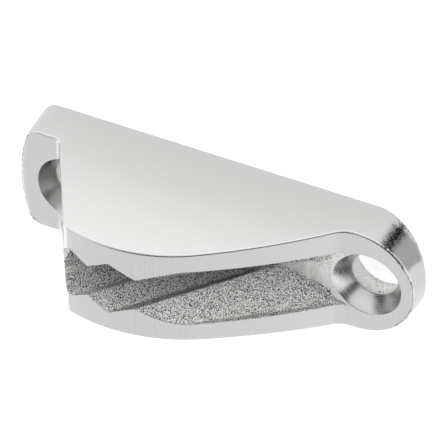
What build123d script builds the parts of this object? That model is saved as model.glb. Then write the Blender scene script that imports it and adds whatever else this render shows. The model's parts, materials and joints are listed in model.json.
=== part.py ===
from build123d import *
import os
from math import asin, cos, radians, sin, sqrt, tan

# Fixed-jaw rope cleat, cast and polished in one piece.  All sizes in mm.
# Origin: on the mounting face, midway between the two screw holes.
# X runs from the tall end to the low (rope entry) end, Z away from the deck.

# ---- overall sizes -------------------------------------------------------
hole_spacing = 52.0            # centre to centre of the two fixing screws
base_half_width = 10.0         # half the width of the mounting face
jaw_height = 25.7              # mounting face to the highest point of the jaws
lug_thickness = 7.2            # both screw lugs
side_draft = 3.3               # degrees, outer sides lean inwards going up

# ---- screw lugs ----------------------------------------------------------
low_end_overhang = 8.25        # low-end hole centre to the rounded end
tall_end_overhang = 9.4        # tall-end hole centre to the blunt end
tall_end_radius = 26.4         # large arc across the blunt end
tall_corner_radius = 3.0       # its two corners
base_edge_round = 0.25         # all round the foot of the outer sides
low_nose_radius = 15.0         # polished-over rim of the low end, plan radius
tall_nose_radius = 30.0        # the same at the tall end
nose_back_round = 4.5          # rounding towards the mounting face
nose_face_round = 1.5          # rounding towards the lug face
tall_nose_back_round = 1.2     # less of it on the blunt end

# ---- countersunk holes ---------------------------------------------------
screw_head_radius = 5.75       # mouth of the countersink in the lug face
screw_throat_radius = 3.9      # narrowest part of the hole
throat_land = 1.0              # straight length of the throat
countersink_half_angle = 32.5  # degrees
hole_back_radius = 4.95        # cast hole opens out again to the mounting face
cutter_overrun = 0.6           # countersink cone carries on above the lug face

# ---- side view of the jaws ------------------------------------------------
end_face_lean = 30.4           # degrees from upright, tall end face
end_face_setback = 1.7         # foot of that face lies outboard of the hole
crown_offset = 9.9             # highest point, from the middle to the tall end
crown_radius = 25.6            # short arc over the top
back_start_angle = 33.0        # degrees, slope where the long back arc begins
back_radius = 115.0            # long, nearly straight back of the jaws
crown_corner_round = 2.0
end_foot_round = 1.5
heel_round = 4.0               # hollow where the back runs out into the low lug

# ---- rope channel ----------------------------------------------------------
mouth_half_width = 5.3         # clear half width along the rope entry
ridge_pitch = 7.85             # along X
ridge_half_gap = 2.95          # crest of a ridge to the middle, at the top
valley_half_gap = 4.97         # bottom of a groove to the middle, at the top
ridge_floor_gap = 0.1          # the crests nearly meet at the channel floor
valley_floor_gap = 2.9         # bottom of a groove to the middle, at the floor
crest_round = 0.35             # cast corners of the ridges
valley_round = 0.9             # and of the grooves between them
last_ridge_setback = 14.3      # its crest at the channel floor, from the low-end hole
ridge_fall = 45.0              # degrees, ridges run down towards the low end
entry_flank_slope = 0.647      # side step per unit of X behind the last ridge
floor_height = 8.5             # channel floor above the mounting face

half_spacing = hole_spacing / 2
low_hole_x = half_spacing
tall_hole_x = -half_spacing
last_ridge_foot_x = low_hole_x - last_ridge_setback
overrun = 2.0                  # cutting shapes run past what they cut
above = jaw_height + 2 * overrun


def plan_outline():
    """Mounting face: round at the low end, blunt at the tall end."""
    end_low = low_hole_x + low_end_overhang
    end_tall = tall_hole_x - tall_end_overhang
    centre_low = end_low - base_half_width
    sag = tall_end_radius - sqrt(tall_end_radius ** 2 - base_half_width ** 2)
    corner_x = end_tall + sag
    w = base_half_width
    edges = [
        Line((corner_x, -w), (centre_low, -w)),
        ThreePointArc((centre_low, -w), (end_low, 0), (centre_low, w)),
        Line((centre_low, w), (corner_x, w)),
        ThreePointArc((corner_x, w), (end_tall, 0), (corner_x, -w)),
    ]
    face = make_face(edges)
    corners = face.vertices().sort_by(Axis.X)[:2]
    return fillet(corners, tall_corner_radius)


def side_points():
    """Key points of the side view as (x, z)."""
    foot_x = tall_hole_x - end_face_setback
    lean = tan(radians(end_face_lean))
    crown_x = -crown_offset
    crown_z = jaw_height - crown_radius
    # the end face meets the crown arc
    dx = foot_x - lean * lug_thickness - crown_x
    a = 1 + lean ** 2
    b = 2 * (lean * dx - crown_z)
    c = dx ** 2 + crown_z ** 2 - crown_radius ** 2
    corner_z = (-b + sqrt(b * b - 4 * a * c)) / (2 * a)
    corner_x = foot_x + lean * (corner_z - lug_thickness)
    # the back arc starts tangent to the crown arc and ends on the low lug
    t = radians(back_start_angle)
    knee = (crown_x + crown_radius * sin(t), crown_z + crown_radius * cos(t))
    back_x = knee[0] - back_radius * sin(t)
    back_z = knee[1] - back_radius * cos(t)
    heel_x = back_x + sqrt(back_radius ** 2 - (lug_thickness - back_z) ** 2)
    half = (t + asin((heel_x - back_x) / back_radius)) / 2
    back_mid = (back_x + back_radius * sin(half), back_z + back_radius * cos(half))
    return {
        "foot": (foot_x, lug_thickness),
        "corner": (corner_x, corner_z),
        "crown": (crown_x, jaw_height),
        "knee": knee,
        "back_mid": back_mid,
        "heel": (heel_x, lug_thickness),
    }


def side_body():
    """Side view pulled across the full width."""
    p = side_points()
    far = hole_spacing
    wide = 4 * base_half_width
    edges = [
        Line((-far, 0), (far, 0)),
        Line((far, 0), (far, lug_thickness)),
        Line((far, lug_thickness), p["heel"]),
        ThreePointArc(p["heel"], p["back_mid"], p["knee"]),
        ThreePointArc(p["knee"], p["crown"], p["corner"]),
        Line(p["corner"], p["foot"]),
        Line(p["foot"], (-far, lug_thickness)),
        Line((-far, lug_thickness), (-far, 0)),
    ]
    face = make_face(edges)

    def near(point):
        target = Vector(point[0], point[1], 0)
        return face.vertices().sort_by_distance(target)[0]

    face = fillet(near(p["corner"]), crown_corner_round)
    face = fillet(near(p["foot"]), end_foot_round)
    face = fillet(near(p["heel"]), heel_round)
    solid = extrude(Plane.XZ * face, wide / 2, both=True)
    return solid


def screw_hole(x):
    """Countersink above a cast hole that widens towards the mounting face."""
    spread = tan(radians(countersink_half_angle))
    seat_depth = (screw_head_radius - screw_throat_radius) / spread
    throat_z = lug_thickness - seat_depth
    top_z = lug_thickness + cutter_overrun
    top_radius = screw_head_radius + cutter_overrun * spread
    land_z = throat_z - throat_land
    flare = (hole_back_radius - screw_throat_radius) / land_z
    points = [
        (0, -overrun),
        (hole_back_radius + flare * overrun, -overrun),
        (screw_throat_radius, land_z),
        (screw_throat_radius, throat_z),
        (top_radius, top_z),
        (top_radius, above),
        (0, above),
    ]
    half = make_face(Polyline(*points, close=True))
    return Pos(x, 0, 0) * revolve(Plane.XZ * half, Axis.Z)


def tooth_outline(z):
    """Level cut through the +Y half of the toothed groove at height z."""
    depth = jaw_height - floor_height
    fall = (jaw_height - z) / depth
    crest_y = ridge_half_gap + fall * (ridge_floor_gap - ridge_half_gap)
    valley_y = valley_half_gap + fall * (valley_floor_gap - valley_half_gap)
    last_x = last_ridge_foot_x - (z - floor_height) / tan(radians(ridge_fall))
    count = int((hole_spacing + depth) / ridge_pitch) + 1
    far_y = 4 * base_half_width
    crests = [(last_x - i * ridge_pitch, crest_y) for i in range(count)]
    valleys = [(x - ridge_pitch / 2, valley_y) for x, y in crests]
    start = (last_x + (far_y - crest_y) / entry_flank_slope, far_y)
    zigzag = [point for pair in zip(crests, valleys) for point in pair]
    end = (valleys[-1][0], -far_y)
    face = make_face(Polyline(start, *zigzag, end, (start[0], -far_y), close=True))

    def corners(places):
        return [face.vertices().sort_by_distance(Vector(x, y, 0))[0] for x, y in places]

    face = fillet(corners(crests), crest_round)
    face = fillet(corners(valleys[:-1]), valley_round)
    return Pos(0, 0, z) * face


def channel_half():
    """Toothed groove on the +Y side of the middle plane."""
    sections = [tooth_outline(floor_height - overrun), tooth_outline(above)]
    teeth = loft(sections, ruled=True)

    # a straight-sided clearance limits the groove to the mouth width and the
    # floor, which slopes down to the lug face at the rope entry
    heel_x = side_points()["heel"][0]
    limits = [
        (-hole_spacing, floor_height),
        (last_ridge_foot_x, floor_height),
        (heel_x, lug_thickness),
        (hole_spacing, lug_thickness),
        (hole_spacing, above),
        (-hole_spacing, above),
    ]
    side = Plane.XZ * make_face(Polyline(*limits, close=True))
    room = extrude(side, mouth_half_width, dir=(0, 1, 0))
    return teeth & room


def end_rounding(end_x, start_x, radius, back_round):
    """Waste outside the polished-over end of a lug, from start_x outwards."""
    outward = 1 if end_x > start_x else -1
    half = Pos(radius / 2, lug_thickness / 2) * Rectangle(radius, lug_thickness)
    rim = half.vertices().sort_by(Axis.X)[2:].sort_by(Axis.Y)
    half = fillet(rim[0], back_round)
    rim = half.vertices().sort_by_distance(Vector(radius, lug_thickness, 0))
    half = fillet(rim[0], nose_face_round)
    keep = Pos(end_x - outward * radius, 0, 0) * revolve(Plane.XZ * half, Axis.Z)
    length = hole_spacing
    centre_x = start_x + outward * length / 2
    zone = Pos(centre_x, 0, lug_thickness / 2) * Box(length, length, lug_thickness)
    return zone - keep


def cleat_body():
    plan = plan_outline()
    block = extrude(plan, jaw_height + overrun, taper=side_draft)
    foot = block.faces().sort_by(Axis.Z)[0]
    block = fillet(foot.edges(), base_edge_round)
    body = block & side_body()
    half = channel_half()
    body = body - half - mirror(half, Plane.XZ)
    low_end = low_hole_x + low_end_overhang
    tall_end = tall_hole_x - tall_end_overhang
    tall_start = tall_hole_x - end_face_setback - end_foot_round
    low_start = low_end - low_nose_radius
    body = body - end_rounding(low_end, low_start, low_nose_radius, nose_back_round)
    body = body - end_rounding(tall_end, tall_start, tall_nose_radius, tall_nose_back_round)
    body = body - screw_hole(low_hole_x) - screw_hole(tall_hole_x)
    return body


body = cleat_body()
body.label = "cleat_body"
os.makedirs("parts", exist_ok=True)
export_step(body, "parts/cleat_body.step")
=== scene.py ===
import json
import math

import bmesh
import bpy
from bpy.props import FloatProperty, FloatVectorProperty, IntProperty, PointerProperty, StringProperty
from bpy.types import Operator, Panel, PropertyGroup
from mathutils import Matrix, Vector, noise
from mathutils.bvhtree import BVHTree


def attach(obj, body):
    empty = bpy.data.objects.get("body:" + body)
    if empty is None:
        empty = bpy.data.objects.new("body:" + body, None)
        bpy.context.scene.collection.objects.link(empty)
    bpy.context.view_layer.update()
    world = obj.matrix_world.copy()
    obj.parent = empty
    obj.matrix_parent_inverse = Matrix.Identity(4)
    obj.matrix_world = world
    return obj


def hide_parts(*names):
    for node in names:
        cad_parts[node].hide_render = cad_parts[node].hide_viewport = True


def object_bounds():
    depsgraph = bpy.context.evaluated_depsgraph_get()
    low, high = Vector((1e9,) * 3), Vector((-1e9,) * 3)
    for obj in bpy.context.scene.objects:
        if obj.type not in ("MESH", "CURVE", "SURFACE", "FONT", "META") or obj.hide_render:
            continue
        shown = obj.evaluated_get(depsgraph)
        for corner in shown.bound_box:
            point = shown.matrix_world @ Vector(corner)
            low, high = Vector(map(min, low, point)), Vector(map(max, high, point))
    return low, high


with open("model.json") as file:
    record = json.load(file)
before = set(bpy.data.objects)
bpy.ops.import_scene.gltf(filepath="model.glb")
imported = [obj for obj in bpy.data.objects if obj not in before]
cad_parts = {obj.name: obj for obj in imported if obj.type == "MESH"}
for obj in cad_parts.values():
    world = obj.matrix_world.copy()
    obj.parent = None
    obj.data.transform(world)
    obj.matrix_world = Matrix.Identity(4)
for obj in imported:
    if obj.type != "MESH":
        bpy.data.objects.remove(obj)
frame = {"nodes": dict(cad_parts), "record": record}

bl_info = {
    "name": "Fixed-jaw rope cleat",
    "version": (1, 0, 0),
    "blender": (4, 5, 0),
    "location": "View3D > Sidebar > Cleat",
    "description": "Builds a cast stainless steel rope cleat and its studio",
    "category": "Object",
}

MM = 0.001
CAD_NODE = "cleat_body"
BODY = "root"
CAD_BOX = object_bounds()
MOUNTS = {mount["name"]: mount for mount in frame["record"]["mounts"]}
HOLE_SPACING = MOUNTS["screw_holes"]["dims"]["spacing_x_mm"] * MM

# A point in the round end, as far from its tip as the cleat's half width, and the middle and half
# width of the strip of cast skin, as angles about that point from straight ahead towards +Y.
ROUND_END = Vector((CAD_BOX[1].x - CAD_BOX[1].y, 0, CAD_BOX[0].z))
CAST_STRIP_ANGLE = 1.05
CAST_STRIP_SPREAD = 0.24

# Finish zones of the casting, in the order of its material slots.
POLISHED, LINISHED, TURNED, BLASTED, WORN, BORE, GROUND = range(7)
CHANNEL = {BLASTED, WORN}


class CleatSizes(PropertyGroup):
    """Sizes of the edges and surface textures, and where one finish gives way to the next."""

    lug_face: FloatProperty(
        name="Lug face", description="Height of the screw lugs' faces above the mounting face",
        default=7.2 * MM, unit="LENGTH")
    channel_floor: FloatProperty(
        name="Channel floor", description="Height of the channel floor above the mounting face",
        default=8.5 * MM, unit="LENGTH")
    mouth_half_width: FloatProperty(
        name="Mouth half width", description="Half the clear width where the rope enters",
        default=5.3 * MM, unit="LENGTH")
    countersink_radius: FloatProperty(
        name="Countersink radius", description="Radius inside which a face belongs to a screw hole",
        default=6.3 * MM, unit="LENGTH")
    countersink_foot: FloatProperty(
        name="Countersink foot", description="Height where the turned finish gives way to the cast bore",
        default=4.2 * MM, unit="LENGTH")
    outer_edge: FloatProperty(
        name="Outer edge", description="How far buffing has rounded each side of an outer edge",
        default=0.36 * MM, unit="LENGTH")
    inner_edge: FloatProperty(
        name="Inner edge", description="The same along the channel and the holes",
        default=0.1 * MM, unit="LENGTH")
    sharp_angle: FloatProperty(
        name="Sharp angle", description="Edges that turn less than this are part of a curve",
        default=math.radians(30), subtype="ANGLE")
    foot_height: FloatProperty(
        name="Foot height", description="Below this the CAD shape already has its edge rounding",
        default=0.6 * MM, unit="LENGTH")
    grain_step: FloatProperty(
        name="Grain step", description="Spacing of the mesh that carries the blasted grain",
        default=0.36 * MM, unit="LENGTH")
    grain_size: FloatProperty(
        name="Grain size", description="Size of the lumps on the blasted cast surface",
        default=0.55 * MM, unit="LENGTH")
    grain_depth: FloatProperty(
        name="Grain depth", description="Height of those lumps",
        default=0.05 * MM, unit="LENGTH")
    ridge_softening: IntProperty(
        name="Ridge softening", description="Smoothing passes that round the cast ridges",
        default=2, min=0)


class CleatColours(PropertyGroup):
    """Colours as sRGB hex values."""

    steel: StringProperty(name="Steel", description="Polished stainless steel", default="C8C8C7")
    # Lighter than the polished steel; only the grain's tops get the full value, as painted glints.
    cast: StringProperty(name="Cast steel", description="Blasted cast surface", default="F2F2F0")
    worn: StringProperty(
        name="Worn steel", description="Cast surface of the channel floor and the bores", default="EAEAE8")
    pit: StringProperty(name="Pit", description="Bottom of a casting pit", default="4A4A48")
    floor: StringProperty(name="Floor", description="Studio floor", default="A8A8A8")
    tent: StringProperty(name="Tent", description="Inside of the light tent", default="FFFFFF")


def linear(hex_value):
    """An sRGB hex colour as linear RGBA."""
    parts = [int(hex_value[i:i + 2], 16) / 255 for i in (0, 2, 4)]
    return (*[p / 12.92 if p <= 0.04045 else ((p + 0.055) / 1.055) ** 2.4 for p in parts], 1.0)


# Materials ---------------------------------------------------------------------------------


def add(tree, kind, settings=None, links=None):
    """Adds a node, sets its properties and input values, and links its inputs."""
    node = tree.nodes.new(kind)
    for name, value in (settings or {}).items():
        if isinstance(name, int) or name in node.inputs:
            node.inputs[name].default_value = value
        else:
            setattr(node, name, value)
    for name, source in (links or {}).items():
        tree.links.new(source, node.inputs[name])
    return node


def new_metal(name, colour, roughness):
    """A material with a metallic shader, its tree, its shader and the piece's own coordinates."""
    material = bpy.data.materials.new(name)
    material.use_nodes = True
    tree = material.node_tree
    shader = tree.nodes["Principled BSDF"]
    shader.inputs["Metallic"].default_value = 1.0
    shader.inputs["Base Color"].default_value = linear(colour)
    shader.inputs["Roughness"].default_value = roughness
    material.diffuse_color = linear(colour)
    where = add(tree, "ShaderNodeTexCoord").outputs["Object"]
    return material, tree, shader, where


def math_node(tree, operation, *inputs):
    """A Math node over links and numbers; returns its output."""
    node = add(tree, "ShaderNodeMath", {"operation": operation})
    for place, value in enumerate(inputs):
        if isinstance(value, (int, float)):
            node.inputs[place].default_value = value
        else:
            tree.links.new(value, node.inputs[place])
    return node.outputs[0]


def split(tree, vector):
    """The X, Y and Z of a vector, by name."""
    return add(tree, "ShaderNodeSeparateXYZ", None, {0: vector}).outputs


def end_angle(tree, where):
    """The angle about ROUND_END, in radians."""
    parts = split(tree, where)
    ahead = math_node(tree, "SUBTRACT", parts["X"], ROUND_END.x)
    return math_node(tree, "ARCTAN2", parts["Y"], ahead)


def eased(tree, value, start, end, first=0.0, last=1.0):
    """Goes smoothly from first to last as the value goes from start to end."""
    return add(
        tree, "ShaderNodeMapRange",
        {"interpolation_type": "SMOOTHSTEP", "From Min": start, "From Max": end,
         "To Min": first, "To Max": last}, {"Value": value}).outputs[0]


def stretched_noise(tree, where, spacing, detail=2.0, roughness=0.5):
    """Noise with a lump every spacing metres along X, Y and Z."""
    scaled = add(
        tree, "ShaderNodeMapping", {"Scale": [1 / s for s in spacing]}, {"Vector": where})
    return add(
        tree, "ShaderNodeTexNoise", {"Scale": 1.0, "Detail": detail, "Roughness": roughness},
        {"Vector": scaled.outputs[0]}).outputs[0]


def ranged(tree, value, low, high):
    """A noise value spread over low to high."""
    return add(
        tree, "ShaderNodeMapRange",
        {"From Min": 0.3, "From Max": 0.7, "To Min": low, "To Max": high},
        {"Value": value}).outputs[0]


def bumped(tree, shader, height, distance, under=None):
    """Raises a height pattern, distance metres from its low to its high."""
    links = {"Height": height}
    if under:
        links["Normal"] = under
    node = add(tree, "ShaderNodeBump", {"Strength": 1.0, "Distance": distance}, links)
    tree.links.new(node.outputs[0], shader.inputs["Normal"])
    return node.outputs[0]


def polished_steel(colours):
    """Cast stainless steel, buffed by hand: a soft mirror with faint waves and short wipe marks."""
    material, tree, shader, where = new_metal("buffed_stainless_casting", colours.steel, 0.2)
    haze = stretched_noise(tree, where, (2.5 * MM, 2.5 * MM, 2.5 * MM))
    wipes = stretched_noise(tree, where, (1.6 * MM, 0.5 * MM, 0.12 * MM), 3.0)
    both = math_node(tree, "MULTIPLY", haze, wipes)
    rough = add(
        tree, "ShaderNodeMapRange",
        {"From Min": 0.15, "From Max": 0.4, "To Min": 0.16, "To Max": 0.27}, {"Value": both})
    tree.links.new(rough.outputs[0], shader.inputs["Roughness"])
    # On one side of the round end a strip of pitted cast skin has been left by the wheel.
    away = math_node(tree, "ABSOLUTE", math_node(tree, "SUBTRACT", end_angle(tree, where), CAST_STRIP_ANGLE))
    strip = math_node(tree, "SUBTRACT", 1.0, math_node(tree, "DIVIDE", away, CAST_STRIP_SPREAD))
    pits = stretched_noise(tree, where, (0.3 * MM, 0.3 * MM, 0.3 * MM), 2.0)
    depth = add(
        tree, "ShaderNodeMapRange", {"From Min": 0.78, "From Max": 0.98},
        {"Value": math_node(tree, "MULTIPLY_ADD", strip, 0.5, pits)}).outputs[0]
    shade = add(
        tree, "ShaderNodeMix", {"data_type": "RGBA", 6: linear(colours.steel), 7: linear(colours.pit)},
        {"Factor": depth})
    tree.links.new(shade.outputs[2], shader.inputs["Base Color"])
    waves = stretched_noise(tree, where, (7 * MM, 7 * MM, 5 * MM), 0.0)
    low = bumped(tree, shader, waves, 0.05 * MM)
    bumped(tree, shader, wipes, 0.0012 * MM, under=low)
    return material


def linished_steel(colours):
    """Flattened on a fine belt and lightly buffed: thin marks run across the rim."""
    material, tree, shader, where = new_metal("belt_linished_stainless", colours.steel, 0.24)
    # Real belt marks are about 0.05 mm apart; they are drawn at 0.16 mm to show.
    marks = stretched_noise(tree, where, (0.16 * MM, 9 * MM, 0.16 * MM), 1.0)
    strong = stretched_noise(tree, where, (0.45 * MM, 14 * MM, 0.45 * MM), 0.0)
    rough = ranged(tree, marks, 0.2, 0.32)
    tree.links.new(rough, shader.inputs["Roughness"])
    height = math_node(tree, "ADD", marks, strong)
    bumped(tree, shader, height, 0.003 * MM)
    return material


def hole_radius(tree, where):
    """Distance from the nearer screw hole's axis, the height, and the direction round that axis."""
    parts = split(tree, where)
    middle = math_node(tree, "MULTIPLY", math_node(tree, "SIGN", parts["X"]), HOLE_SPACING / 2)
    along = math_node(tree, "SUBTRACT", parts["X"], middle)
    back = math_node(tree, "MULTIPLY", parts["Y"], -1.0)
    around = add(tree, "ShaderNodeCombineXYZ", None, {"X": back, "Y": along}).outputs[0]
    length = add(tree, "ShaderNodeVectorMath", {"operation": "LENGTH"}, {0: around}).outputs["Value"]
    return length, parts["Z"], around


def turned_steel(colours):
    """Countersink cut by a drill press: bright, with rings that the cutter's lip left."""
    material, tree, shader, where = new_metal("turned_stainless", colours.steel, 0.2)
    radius, height, around = hole_radius(tree, where)
    shader.inputs["Anisotropic"].default_value = 0.35
    turn = add(tree, "ShaderNodeVectorMath", {"operation": "NORMALIZE"}, {0: around})
    tree.links.new(turn.outputs[0], shader.inputs["Tangent"])
    # The feed marks are about 0.14 mm apart, measured down the cone.
    slant = math_node(tree, "ADD", radius, height)
    rings = add(
        tree, "ShaderNodeTexNoise", {"noise_dimensions": "1D", "Scale": 1.0, "Detail": 3.0},
        {"W": math_node(tree, "DIVIDE", slant, 0.2 * MM)}).outputs[0]
    chatter = stretched_noise(tree, where, (1.2 * MM, 1.2 * MM, 0.4 * MM))
    tree.links.new(ranged(tree, rings, 0.13, 0.28), shader.inputs["Roughness"])
    first = bumped(tree, shader, rings, 0.012 * MM)
    bumped(tree, shader, chatter, 0.01 * MM, under=first)
    return material


def grainy_metal(name, colour, grain, depth, pits):
    """Cast steel after shot blasting: a real bump grain, with painted glints on its tops and painted shade
    in its hollows.
    """
    material, tree, shader, where = new_metal(name, colour, 0.42)
    fine = stretched_noise(tree, where, (grain, grain, grain), 2.0, 0.6)
    coarse = stretched_noise(tree, where, (3 * grain, 3 * grain, 3 * grain), 1.0)
    first = bumped(tree, shader, coarse, depth)
    bumped(tree, shader, fine, depth, under=first)
    tree.links.new(ranged(tree, fine, 0.55, 0.3), shader.inputs["Roughness"])
    # Painted shade and painted glints: where the grain's noise is low (its hollows) the base colour falls to
    # pits times the colour, and where it is high (its tops) it keeps the full colour.
    dark = [channel * pits for channel in linear(colour)[:3]]
    painted_glint_mix = add(
        tree, "ShaderNodeMapRange", {"From Min": 0.43, "From Max": 0.51}, {"Value": fine}).outputs[0]
    shade = add(
        tree, "ShaderNodeMix", {"data_type": "RGBA", 6: (*dark, 1.0), 7: linear(colour)},
        {"Factor": painted_glint_mix})
    tree.links.new(shade.outputs[2], shader.inputs["Base Color"])
    return material


def blasted_steel(colours):
    """The channel's walls: 0.17 mm grain; its bright points are painted glints and its near-black hollows
    are painted shade.
    """
    return grainy_metal("shot_blasted_cast_stainless", colours.cast, 0.17 * MM, 0.12 * MM, 0.03)


def worn_steel(colours):
    """The channel's floor, which the rope and the polishing wheel have smoothed."""
    return grainy_metal("worn_cast_stainless", colours.worn, 0.17 * MM, 0.04 * MM, 0.72)


def bore_steel(colours):
    """The cast back of the holes: shallower grain, with painted shade in its hollows."""
    return grainy_metal("as_cast_bore", colours.worn, 0.17 * MM, 0.05 * MM, 0.4)


def ground_steel(colours):
    """Mounting face, ground flat along its length."""
    material, tree, shader, where = new_metal("ground_stainless", colours.steel, 0.32)
    # Grinding lines are about 0.1 mm apart, drawn at 0.25 mm.
    lines = stretched_noise(tree, where, (9 * MM, 0.25 * MM, 1 * MM), 3.0)
    tree.links.new(ranged(tree, lines, 0.24, 0.4), shader.inputs["Roughness"])
    bumped(tree, shader, lines, 0.01 * MM)
    return material


FINISHES = (
    polished_steel, linished_steel, turned_steel, blasted_steel, worn_steel, bore_steel, ground_steel)


# Casting -----------------------------------------------------------------------------------


def near_hole(point):
    """Distance in plan from the nearer screw hole's axis."""
    return math.hypot(abs(point.x) - HOLE_SPACING / 2, point.y)


def zone_of(face, sizes):
    """The finish of a face, from where it lies and which way it points."""
    middle, normal = face.calc_center_median(), face.normal
    if normal.z < -0.99 and middle.z < 0.05 * MM:
        return GROUND
    if near_hole(middle) < sizes.countersink_radius and middle.z < sizes.lug_face + 0.05 * MM:
        radial = Vector((middle.x - math.copysign(HOLE_SPACING / 2, middle.x), middle.y))
        if normal.z < 0.9 and radial.dot(normal.xy) < 0:
            return TURNED if middle.z > sizes.countersink_foot else BORE
    in_mouth = abs(middle.y) < sizes.mouth_half_width + 0.02 * MM
    level_across = abs(normal.y) < 0.05
    if in_mouth and middle.z > sizes.lug_face + 0.02 * MM:
        if not level_across:
            return BLASTED
        if middle.z < sizes.channel_floor + 0.1 * MM and normal.z > 0.8:
            return WORN
    if abs(normal.y) < 0.2 and middle.z > sizes.lug_face - 0.1 * MM:
        return LINISHED
    return POLISHED


def merged_copy(sizes):
    """The CAD node's surface as one closed skin with flat areas as single faces."""
    skin = bmesh.new()
    skin.from_mesh(frame["nodes"][CAD_NODE].data)
    bmesh.ops.remove_doubles(skin, verts=skin.verts, dist=0.012 * MM)
    bmesh.ops.dissolve_degenerate(skin, edges=skin.edges, dist=0.005 * MM)
    outside = [
        vert for vert in skin.verts
        if vert.co.z > sizes.foot_height and abs(vert.co.y) > sizes.mouth_half_width + 0.3 * MM]
    bmesh.ops.remove_doubles(skin, verts=outside, dist=0.1 * MM)
    bmesh.ops.dissolve_degenerate(skin, edges=skin.edges, dist=0.005 * MM)
    bmesh.ops.dissolve_limit(skin, angle_limit=math.radians(0.3), verts=skin.verts, edges=skin.edges)
    return skin


def sharp_edges(skin, sizes, wanted):
    """Edges above the foot that turn sharply between two faces whose finishes pass the test."""
    found = []
    for edge in skin.edges:
        finishes = {face.material_index for face in edge.link_faces}
        high = max(vert.co.z for vert in edge.verts) > sizes.foot_height
        if high and edge.calc_face_angle(0) > sizes.sharp_angle and wanted(finishes):
            found.append(edge)
    return found


def round_edges(skin, edges, width):
    """A rounding that reaches width to each side of the edges."""
    bmesh.ops.bevel(
        skin, geom=edges, offset=width, offset_type="OFFSET", segments=4,
        profile=0.5, affect="EDGES", clamp_overlap=False, material=-1)


def gather_strays(skin, true_surface, sizes):
    """Joins any corner that a rounding threw off the surface to its nearest neighbour that is on it."""
    reach = 0.6 * sizes.outer_edge
    off = {vert for vert in skin.verts if true_surface.find_nearest(vert.co)[3] > reach}
    while off:
        moves = {}
        for vert in off:
            near = [edge.other_vert(vert) for edge in vert.link_edges]
            near = [other for other in near if other not in off]
            if near:
                moves[vert] = min(near, key=lambda other: (other.co - vert.co).length)
        if not moves:
            break
        bmesh.ops.weld_verts(skin, targetmap=moves)
        off = {vert for vert in off if vert.is_valid}
    bmesh.ops.dissolve_degenerate(skin, edges=skin.edges, dist=0.004 * MM)


def round_polished_edges(skin, sizes):
    """Buffing rounds the outer edges most, and the rims of the channel and holes a little."""
    true_surface = BVHTree.FromBMesh(skin)
    outer = sharp_edges(skin, sizes, lambda finishes: finishes <= {POLISHED, LINISHED})
    round_edges(skin, outer, sizes.outer_edge)
    inner = sharp_edges(
        skin, sizes,
        lambda finishes: len(finishes) == 2 and finishes & {*CHANNEL, TURNED} and not finishes <= CHANNEL)
    round_edges(skin, inner, sizes.inner_edge)
    gather_strays(skin, true_surface, sizes)


def slice_channel(skin, sizes):
    """Cuts the blasted faces by level and cross planes, fine enough to carry the grain."""
    low, high = CAD_BOX
    for axis in (Vector((1, 0, 0)), Vector((0, 0, 1))):
        place, end = low.dot(axis), high.dot(axis)
        while place < end:
            blasted = [face for face in skin.faces if face.material_index in CHANNEL]
            edges = {edge for face in blasted for edge in face.edges}
            verts = {vert for face in blasted for vert in face.verts}
            bmesh.ops.bisect_plane(
                skin, geom=[*blasted, *edges, *verts], dist=0.02 * MM,
                plane_co=axis * place, plane_no=axis)
            place += sizes.grain_step


def blast_channel(skin, sizes):
    """Softens the cast ridges, then raises the grain, leaving the polished rim where it is."""
    inner = [
        vert for vert in skin.verts
        if vert.link_faces and all(face.material_index in CHANNEL for face in vert.link_faces)
    ]
    for _ in range(sizes.ridge_softening):
        bmesh.ops.smooth_vert(
            skin, verts=inner, factor=0.5, use_axis_x=True, use_axis_y=True, use_axis_z=True)
    skin.normal_update()
    for vert in inner:
        lump = noise.fractal(vert.co / sizes.grain_size, 0.8, 2.0, 2)
        vert.co += vert.normal * lump * sizes.grain_depth


def close_folds(skin):
    """Shuts the small folds and the slit that the joins have left, so that the skin is closed."""
    for _ in range(4):
        folds = [edge for edge in skin.edges if len(edge.link_faces) > 2]
        if folds:
            bmesh.ops.collapse(skin, edges=folds)
        slit = [edge for edge in skin.edges if edge.is_boundary]
        if slit:
            corners = [vert for edge in slit for vert in edge.verts]
            bmesh.ops.pointmerge(skin, verts=list(set(corners)), merge_co=corners[0].co)
    loose = [vert for vert in skin.verts if not vert.link_faces]
    bmesh.ops.delete(skin, geom=loose, context="VERTS")
    skin.normal_update()


def build_casting(sizes):
    """The whole skin, with the finish of each face as its material index."""
    skin = merged_copy(sizes)
    for face in skin.faces:
        face.material_index = zone_of(face, sizes)
    round_polished_edges(skin, sizes)
    slice_channel(skin, sizes)
    blast_channel(skin, sizes)
    close_folds(skin)
    return skin


class CLEAT_OT_casting(Operator):
    """Make the one-piece casting with its polished, turned and blasted finishes"""

    bl_idname = "cleat.casting"
    bl_label = "Casting"

    def execute(self, context):
        sizes, colours = context.scene.cleat_sizes, context.scene.cleat_colours
        skin = build_casting(sizes)
        mesh = bpy.data.meshes.new("cleat_casting")
        skin.to_mesh(mesh)
        skin.free()
        for finish in FINISHES:
            mesh.materials.append(finish(colours))
        mesh.shade_smooth()
        piece = bpy.data.objects.new("cleat_casting", mesh)
        context.scene.collection.objects.link(piece)
        evener = piece.modifiers.new("even_normals", "WEIGHTED_NORMAL")
        evener.keep_sharp = True
        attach(piece, BODY)
        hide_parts(CAD_NODE)
        return {"FINISHED"}


# Stage -------------------------------------------------------------------------------------


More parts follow.
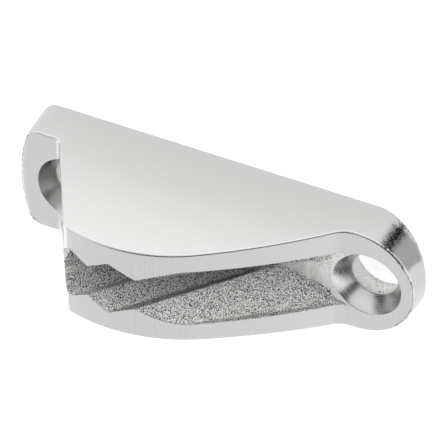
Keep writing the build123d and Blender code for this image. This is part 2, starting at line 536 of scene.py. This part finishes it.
class CleatStudio(PropertyGroup):
    """Camera, light table, black card and tent."""

    camera_place: FloatVectorProperty(
        name="Camera place", description="Where the camera stands",
        default=(0.20461, 0.39096, 0.41942), unit="LENGTH", size=3)
    focal_length: FloatProperty(
        name="Focal length", description="On a 36 mm sensor", default=310.07, min=1.0)
    wall_light: FloatProperty(name="Wall light", description="Brightness of the tent's walls", default=1.7)
    roof_light: FloatProperty(name="Roof light", description="Brightness of the tent's roof", default=1.08)
    wall_top: FloatProperty(
        name="Wall top", description="Where the walls begin to dim, as a sine of elevation", default=0.08)
    roof_foot: FloatProperty(
        name="Roof foot", description="Where the roof's brightness begins, as a sine of elevation",
        default=0.34)
    # Painted shade: the floor's own glow is dimmed beside the cleat, in place of the shade the cleat would
    # cast on it.
    painted_shade_floor_light: FloatProperty(
        name="Floor light", description="Light from inside the floor, under the cleat", default=0.84)
    floor_far_light: FloatProperty(
        name="Far floor light", description="The same, away from the cleat", default=1.18)
    painted_shade_fade_start: FloatProperty(
        name="Glow start", description="Where the floor begins to get brighter",
        default=12 * MM, unit="LENGTH")
    painted_shade_fade_end: FloatProperty(
        name="Glow end", description="Where the floor is brightest", default=42 * MM, unit="LENGTH")
    card_start: FloatProperty(
        name="Card start", description="Where the black card begins, about the round end",
        default=math.radians(17), subtype="ANGLE")
    card_turn: FloatProperty(
        name="Card turn", description="How far the card goes round it",
        default=math.radians(57), subtype="ANGLE")
    card_gap: FloatProperty(
        name="Card gap", description="From the round end to the near side of the black card",
        default=2.3 * MM, unit="LENGTH")
    card_reach: FloatProperty(
        name="Card reach", description="From the round end to the far side of the black card",
        default=14 * MM, unit="LENGTH")
    opening_azimuth: FloatProperty(
        name="Opening azimuth", description="Which way the tent's opening faces",
        default=math.radians(28), subtype="ANGLE")
    opening: FloatProperty(
        name="Opening", description="Half width of the opening, as a sine of its angle", default=0.1)
    opening_flare: FloatProperty(
        name="Opening flare", description="How much wider the opening gets going up", default=0.42)
    opening_foot: FloatProperty(
        name="Opening foot", description="Lower end of the opening, as a sine of elevation", default=0.12)
    hatch_edge: FloatProperty(
        name="Hatch edge", description="Edge of the hatch overhead, as a sine of elevation", default=0.9)
    blur: FloatProperty(name="Blur", description="How softly the opening ends", default=0.08)
    opening_light: FloatProperty(
        name="Opening light", description="Share of light in the opening and the hatch", default=0.12)


def stage_floor(colours, studio):
    """A pale light table: lit from inside, so that no hard shadow falls on it. Its glow is dimmer close to
    the cleat, as painted shade.
    """
    material = bpy.data.materials.new("studio_floor")
    material.use_nodes = True
    tree = material.node_tree
    shader = tree.nodes["Principled BSDF"]
    shader.inputs["Base Color"].default_value = linear(colours.floor)
    shader.inputs["Roughness"].default_value = 0.9
    shader.inputs["Emission Color"].default_value = linear(colours.tent)
    where = add(tree, "ShaderNodeTexCoord").outputs["Object"]
    aside = math_node(tree, "ABSOLUTE", split(tree, where)["Y"])
    # Painted shade: the glow rises from its dim value near the cleat (by distance along Y) to its full value
    # away from it.
    glow_with_painted_shade = eased(
        tree, aside, studio.painted_shade_fade_start, studio.painted_shade_fade_end, studio.painted_shade_floor_light, studio.floor_far_light)
    tree.links.new(glow_with_painted_shade, shader.inputs["Emission Strength"])
    plate = bmesh.new()
    bmesh.ops.create_grid(plate, x_segments=1, y_segments=1, size=1.5)
    mesh = bpy.data.meshes.new("studio_floor")
    plate.to_mesh(mesh)
    plate.free()
    mesh.materials.append(material)
    floor = bpy.data.objects.new("studio_floor", mesh)
    floor.location.z = CAD_BOX[0].z - 0.02 * MM
    bpy.context.scene.collection.objects.link(floor)


def card_material(studio):
    """Black, half see-through at its start, and fading out at its end."""
    material = bpy.data.materials.new("black_card")
    material.use_nodes = True
    tree = material.node_tree
    shader = tree.nodes["Principled BSDF"]
    shader.inputs["Base Color"].default_value = (0.02, 0.02, 0.02, 1.0)
    start, turn = studio.card_start, studio.card_turn
    angle = end_angle(tree, add(tree, "ShaderNodeTexCoord").outputs["Object"])
    fade = eased(tree, angle, start + 0.75 * turn, start + turn, 0.9, 0.0)
    body = eased(tree, angle, start + 0.5 * turn, start + 0.68 * turn, 0.55, 1.0)
    tree.links.new(math_node(tree, "MULTIPLY", fade, body), shader.inputs["Alpha"])
    return material


def stage_card(studio):
    """A curved black card laid beside the round end, seen only as a dark reflection in it."""
    radius = CAD_BOX[1].y
    middle = ROUND_END + Vector((0, 0, 0.1 * MM))
    spoke = Vector((math.cos(studio.card_start), math.sin(studio.card_start), 0))
    card = bmesh.new()
    ends = [card.verts.new(middle + spoke * (radius + gap)) for gap in (studio.card_gap, studio.card_reach)]
    edge = card.edges.new(ends)
    bmesh.ops.spin(
        card, geom=[*ends, edge], cent=middle, axis=(0, 0, 1), angle=studio.card_turn,
        steps=12, use_merge=False)
    mesh = bpy.data.meshes.new("black_card")
    card.to_mesh(mesh)
    card.free()
    mesh.materials.append(card_material(studio))
    black_card = bpy.data.objects.new("black_card", mesh)
    black_card.visible_camera = False
    black_card.visible_diffuse = False
    black_card.visible_shadow = False
    bpy.context.scene.collection.objects.link(black_card)


def dotted(tree, direction, fixed):
    """How far a direction points along a fixed one."""
    node = add(tree, "ShaderNodeVectorMath", {"operation": "DOT_PRODUCT", 1: fixed}, {0: direction})
    return node.outputs["Value"]


def soft_step(tree, value, place, blur):
    """Rises from 0 to 1 around a place; a negative blur makes it fall."""
    return eased(tree, value, place - blur, place + blur)


def stage_world(colours, studio):
    """A white tent, less bright overhead, with a dark opening at one side and a dark hatch on top."""
    world = bpy.data.worlds.new("tent")
    bpy.context.scene.world = world
    world.use_nodes = True
    tree = world.node_tree
    background = tree.nodes["Background"]
    background.inputs["Color"].default_value = linear(colours.tent)
    direction = add(tree, "ShaderNodeTexCoord").outputs["Generated"]
    height = split(tree, direction)["Z"]
    roof = eased(
        tree, height, studio.wall_top, studio.roof_foot, studio.wall_light, studio.roof_light)
    front = Vector((math.cos(studio.opening_azimuth), math.sin(studio.opening_azimuth), 0))
    side = front.cross(Vector((0, 0, 1)))
    across = math_node(tree, "ABSOLUTE", dotted(tree, direction, side))
    across = math_node(tree, "SUBTRACT", across, math_node(tree, "MULTIPLY", height, studio.opening_flare))
    slot = math_node(tree, "MULTIPLY", soft_step(tree, across, studio.opening, -studio.blur),
                     soft_step(tree, dotted(tree, direction, front), 0.0, studio.blur))
    slot = math_node(tree, "MULTIPLY", slot, soft_step(tree, height, studio.opening_foot, studio.blur))
    hatch = soft_step(tree, height, studio.hatch_edge, studio.blur / 2)
    dark = math_node(tree, "MULTIPLY", math_node(tree, "MAXIMUM", slot, hatch), 1 - studio.opening_light)
    lit = math_node(tree, "MULTIPLY", roof, math_node(tree, "SUBTRACT", 1.0, dark))
    tree.links.new(lit, background.inputs["Strength"])


def stage_camera(studio):
    """A long lens, rolled so that the cleat lies on its side in the frame."""
    data = bpy.data.cameras.new("camera")
    data.lens = studio.focal_length
    data.sensor_width = 36.0
    data.clip_start, data.clip_end = 0.01, 10.0
    camera = bpy.data.objects.new("camera", data)
    right = Vector((0.89610549, 0.002095, -0.44383619))
    up = Vector((-0.28770417, 0.76419126, -0.57726773))
    back = right.cross(up)
    turn = Matrix((right, up, back)).transposed()
    camera.matrix_world = Matrix.LocRotScale(Vector(studio.camera_place), turn.to_quaternion(), None)
    bpy.context.scene.collection.objects.link(camera)
    bpy.context.scene.camera = camera


class CLEAT_OT_studio(Operator):
    """Make the floor, the black card, the light tent and the camera"""

    bl_idname = "cleat.studio"
    bl_label = "Studio"

    def execute(self, context):
        colours, studio = context.scene.cleat_colours, context.scene.cleat_studio
        stage_floor(colours, studio)
        stage_card(studio)
        stage_world(colours, studio)
        stage_camera(studio)
        context.scene.view_settings.view_transform = "Standard"
        return {"FINISHED"}


class CLEAT_PT_panel(Panel):
    bl_label = "Rope cleat"
    bl_idname = "CLEAT_PT_panel"
    bl_space_type = "VIEW_3D"
    bl_region_type = "UI"
    bl_category = "Cleat"

    def draw(self, context):
        for group in (context.scene.cleat_sizes, context.scene.cleat_colours, context.scene.cleat_studio):
            for name in group.bl_rna.properties.keys():
                if name not in ("rna_type", "name"):
                    self.layout.prop(group, name)
        for operator in (CLEAT_OT_casting, CLEAT_OT_studio):
            self.layout.operator(operator.bl_idname)


CLASSES = (CleatSizes, CleatColours, CleatStudio, CLEAT_OT_casting, CLEAT_OT_studio, CLEAT_PT_panel)
GROUPS = {"cleat_sizes": CleatSizes, "cleat_colours": CleatColours, "cleat_studio": CleatStudio}


def register():
    for cls in CLASSES:
        bpy.utils.register_class(cls)
    for name, group in GROUPS.items():
        setattr(bpy.types.Scene, name, PointerProperty(type=group))


def unregister():
    for name in GROUPS:
        delattr(bpy.types.Scene, name)
    for cls in reversed(CLASSES):
        bpy.utils.unregister_class(cls)


def main():
    register()
    bpy.ops.cleat.casting()
    bpy.ops.cleat.studio()


if __name__ == "__main__":
    main()
